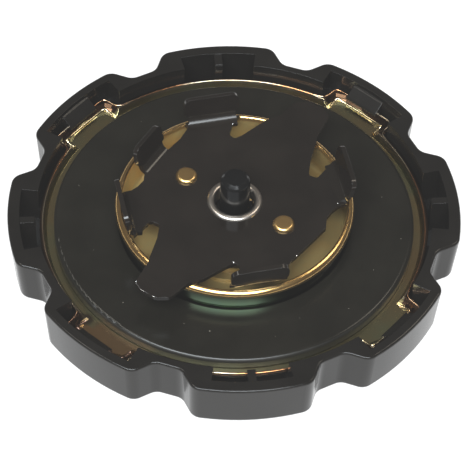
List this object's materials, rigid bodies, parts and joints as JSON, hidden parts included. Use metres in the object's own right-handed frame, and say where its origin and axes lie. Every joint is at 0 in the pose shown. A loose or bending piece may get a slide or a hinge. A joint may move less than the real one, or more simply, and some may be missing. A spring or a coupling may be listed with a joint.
{
  "type": "fuel filler cap",
  "caption": "Round lobed bayonet filler cap, lying on its hand face, with a flat gasket, a pressed locking plate and a sprung centre vent valve.",
  "frame": {"origin": "centre of the hand face, on the cap's axis", "axes": "+Z from the hand face towards the tank; four of the lobes lie on X and Y"},
  "size_m": [0.1064, 0.1064, 0.024],
  "materials": {
    "knob_plastic": "black moulded plastic, polished rim",
    "dish_steel": "yellow passivated pressed steel",
    "gasket_rubber": "smooth black rubber",
    "cup_steel": "yellow passivated pressed steel",
    "rivet_steel": "yellow passivated rivets",
    "plate_steel": "black enamelled pressed steel",
    "eyelet_steel": "plated steel",
    "bush_brass": "turned brass",
    "stem_plastic": "black moulded plastic",
    "spring_steel": "drawn spring steel",
    "valve_rubber": "black rubber"
  },
  "bodies": {
    "cap": {"knob_shell": "knob_plastic", "closure_dish": "dish_steel", "sealing_gasket": "gasket_rubber", "retainer_cup": "cup_steel", "cup_rivets": "rivet_steel", "valve_housing": "cup_steel", "bayonet_plate": "plate_steel", "bayonet_rivets": "rivet_steel", "centre_eyelet": "eyelet_steel", "eyelet_washer": "eyelet_steel", "seat_bush": "bush_brass", "bush_washer": "valve_rubber", "valve_spring": "spring_steel"},
    "vent": {"valve_stem": "stem_plastic", "spring_seat": "spring_steel", "valve_seal": "valve_rubber", "valve_disc": "eyelet_steel", "stem_clip": "spring_steel"}
  },
  "joints": [
    {"name": "vent_stem_slide", "type": "slide", "parent": "cap", "child": "vent", "axis": [0, 0, -1], "range_m": [0, 0.001], "stiffness_N_per_m": 400, "deforming": ["valve_spring"]}
  ]
}
